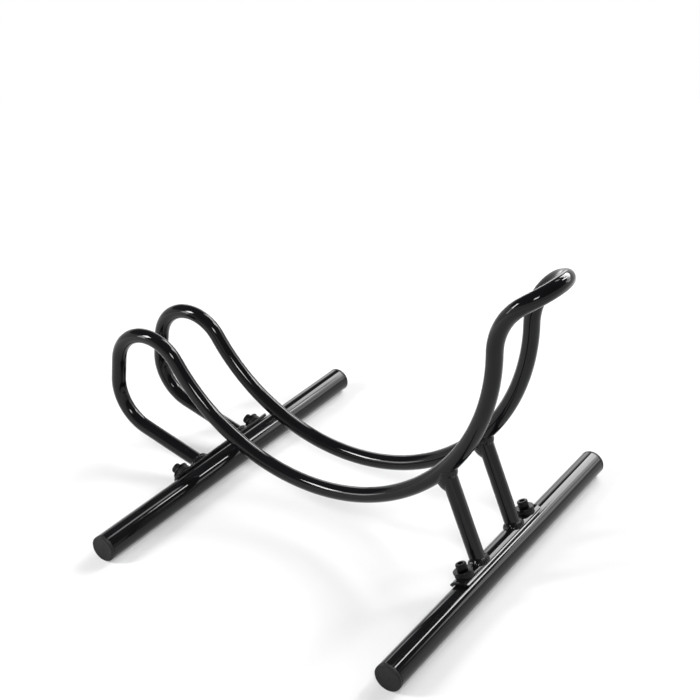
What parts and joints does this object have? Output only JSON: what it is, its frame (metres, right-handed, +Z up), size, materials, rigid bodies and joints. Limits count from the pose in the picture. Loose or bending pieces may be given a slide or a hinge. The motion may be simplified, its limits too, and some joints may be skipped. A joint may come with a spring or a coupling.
{
  "type": "bicycle wheel floor stand",
  "caption": "Low floor stand that holds a bicycle by a wheel: bent round bar with front loops, tyre cradle and rolled hairpin top, on curved saddles screwed to capped cross tubes.",
  "frame": {"origin": "on the floor, under the middle of the stand's box", "axes": "+Z up from the floor, +Y to the back of the stand where the hairpin is, X along the base tubes across the wheel, +X on the right when seen from the front"},
  "size_m": [0.376, 0.4763, 0.301],
  "materials": {
    "frame_paint": "gloss black powder coat",
    "cap_plastic": "satin black moulded plastic",
    "screw_steel": "black oxide",
    "washer_steel": "black zinc",
    "spacer_plastic": "satin black nylon",
    "insert_steel": "zinc plated"
  },
  "bodies": {
    "root": {"wheel_hoop": "frame_paint", "right_post": "frame_paint", "left_post": "frame_paint", "front_base_tube": "frame_paint", "front_saddle": "frame_paint", "front_right_end_cap": "cap_plastic", "front_right_cap_screw": "screw_steel", "front_right_washer": "washer_steel", "front_right_curved_spacer": "spacer_plastic", "front_right_threaded_insert": "insert_steel", "front_left_end_cap": "cap_plastic", "front_left_cap_screw": "screw_steel", "front_left_washer": "washer_steel", "front_left_curved_spacer": "spacer_plastic", "front_left_threaded_insert": "insert_steel", "rear_base_tube": "frame_paint", "rear_saddle": "frame_paint", "rear_right_end_cap": "cap_plastic", "rear_right_cap_screw": "screw_steel", "rear_right_washer": "washer_steel", "rear_right_curved_spacer": "spacer_plastic", "rear_right_threaded_insert": "insert_steel", "rear_left_end_cap": "cap_plastic", "rear_left_cap_screw": "screw_steel", "rear_left_washer": "washer_steel", "rear_left_curved_spacer": "spacer_plastic", "rear_left_threaded_insert": "insert_steel"}
  },
  "joints": []
}
